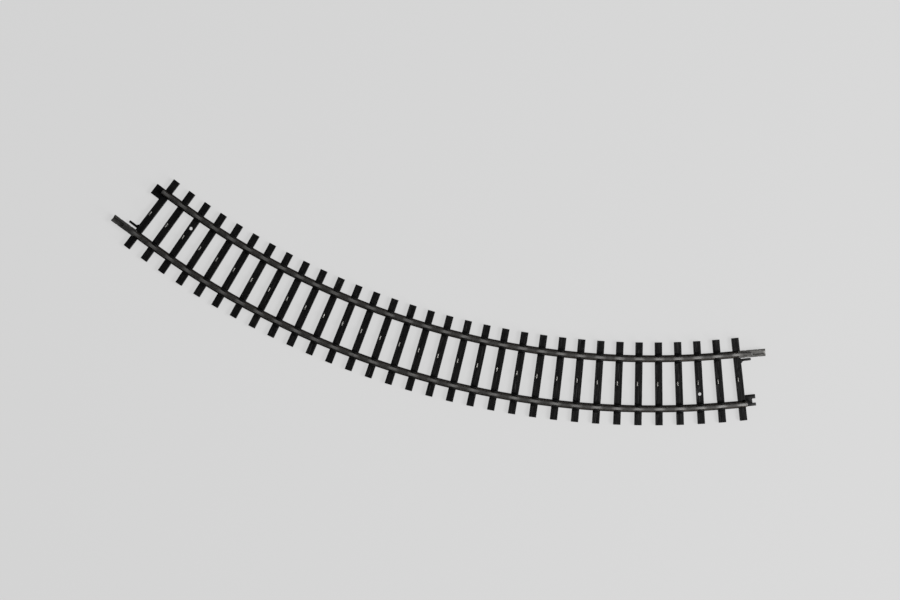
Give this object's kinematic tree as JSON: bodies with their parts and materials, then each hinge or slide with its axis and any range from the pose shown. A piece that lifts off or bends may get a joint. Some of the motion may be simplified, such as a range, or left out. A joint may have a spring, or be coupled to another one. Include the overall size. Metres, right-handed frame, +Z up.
{
  "type": "curved model railway track section",
  "caption": "Curved model railway track with moulded sleepers, two steel rails, a row of contact studs along the middle and a slide-on rail joiner at each end.",
  "frame": {"origin": "on the underside, midway between the two fixing screw holes", "axes": "+X along the chord of the curve, the sleeper row running from the left end to the right end; +Y towards the centre of the curve; +Z up"},
  "size_m": [0.2412, 0.0504, 0.0049],
  "materials": {
    "bed_plastic": "black moulded, satin with fine wood grain",
    "rail_steel": "dark browned steel, head worn brighter",
    "joiner_steel": "rolled sheet, dull grey",
    "contact_steel": "bright plated sheet, stud crowns polished by use",
    "spring_bronze": "spring bronze, dull"
  },
  "bodies": {
    "track": {"sleeper_bed": "bed_plastic", "inner_rail": "rail_steel", "outer_rail": "rail_steel", "centre_contact_strip": "contact_steel", "right_tongue_blade": "contact_steel", "left_tongue_blade": "contact_steel"},
    "right_joiner": {"right_rail_joiner": "joiner_steel"},
    "left_joiner": {"left_rail_joiner": "joiner_steel"},
    "right_leaf": {"right_pocket_leaf": "spring_bronze"},
    "left_leaf": {"left_pocket_leaf": "spring_bronze"}
  },
  "joints": [
    {"name": "right_joiner_slide", "type": "slide", "parent": "track", "child": "right_joiner", "axis": [0.9373, 0.3484, 0], "range_m": [-0.0048, 0.004]},
    {"name": "right_leaf_flex", "type": "hinge", "parent": "track", "child": "right_leaf", "pos_m": [0.11225, -0.00071, 0.00055], "axis": [-0.3713, 0.9285, 0], "range_deg": [0, 6], "stiffness_Nm_per_rad": 0.02},
    {"name": "left_joiner_slide", "type": "slide", "parent": "track", "child": "left_joiner", "axis": [-0.9373, 0.3484, 0], "range_m": [-0.0048, 0.004]},
    {"name": "left_leaf_flex", "type": "hinge", "parent": "track", "child": "left_leaf", "pos_m": [-0.1099, 0.01192, 0.00055], "axis": [-0.3713, -0.9285, 0], "range_deg": [0, 6], "stiffness_Nm_per_rad": 0.02}
  ]
}
